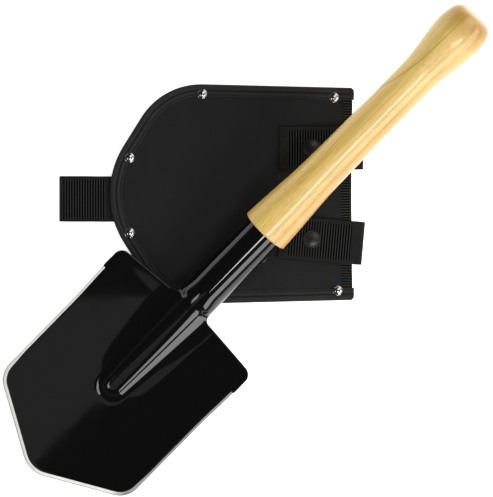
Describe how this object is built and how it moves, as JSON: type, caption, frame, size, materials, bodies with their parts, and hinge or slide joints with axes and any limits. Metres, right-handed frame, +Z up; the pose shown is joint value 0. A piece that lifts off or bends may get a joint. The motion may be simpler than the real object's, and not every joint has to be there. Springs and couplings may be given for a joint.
{
  "type": "camp shovel",
  "caption": "Fixed camp shovel with a pointed stamped steel blade, socket and turned hardwood handle, laid across its snap-closed webbing belt sheath.",
  "frame": {"origin": "middle of the sheath's back, on the surface that the set lies on", "axes": "+X along the shovel in plan, from the blade's tip to the handle's butt; +Z up, out of the sheath's front"},
  "size_m": [0.5155, 0.24, 0.0966],
  "materials": {
    "painted_steel": "gloss black stoving enamel over stamped steel, bare ground edge",
    "varnished_wood": "clear varnished hardwood with long grain",
    "screw_steel": "blackened steel",
    "nylon": "tight woven nylon",
    "binding": "ribbed binding tape",
    "webbing": "ribbed nylon webbing",
    "board": "stiff polyethylene board",
    "nickel": "nickel plated",
    "snap_black": "satin black lacquer"
  },
  "bodies": {
    "sheath": {"back_panel": "nylon", "front_panel": "nylon", "back_liner": "board", "front_liner": "board", "edge_welt": "nylon", "edge_binding": "binding", "mouth_binding_back": "binding", "mouth_binding_front": "binding", "rivet_caps": "nickel", "rivet_backs": "nickel", "belt_loop": "webbing", "upper_strap_base": "webbing", "lower_strap_base": "webbing", "snap_studs": "snap_black", "snap_backs": "nickel"},
    "shovel": {"blade": "painted_steel", "handle": "varnished_wood", "socket_screw": "screw_steel"},
    "upper_flap": {"upper_strap": "webbing", "upper_snap_cap": "snap_black", "upper_snap_socket": "snap_black"},
    "lower_flap": {"lower_strap": "webbing", "lower_snap_cap": "snap_black", "lower_snap_socket": "snap_black"}
  },
  "joints": [
    {"name": "shovel_lift", "type": "slide", "parent": "sheath", "child": "shovel", "axis": [0, 0, 1], "range_m": [0, 0.25]},
    {"name": "upper_flap_hinge", "type": "hinge", "parent": "sheath", "child": "upper_flap", "pos_m": [0.10167, -0.0501, 0.00615], "axis": [0.7133, 0.7009, 0], "range_deg": [0, 160]},
    {"name": "lower_flap_hinge", "type": "hinge", "parent": "sheath", "child": "lower_flap", "pos_m": [0.04618, -0.10463, 0.00615], "axis": [0.7716, 0.6361, 0], "range_deg": [0, 160]}
  ],
  "couplings": [
    {"joint": "upper_flap_hinge", "follows": "shovel_lift", "rad_per_m": 11},
    {"joint": "lower_flap_hinge", "follows": "shovel_lift", "rad_per_m": 11}
  ]
}
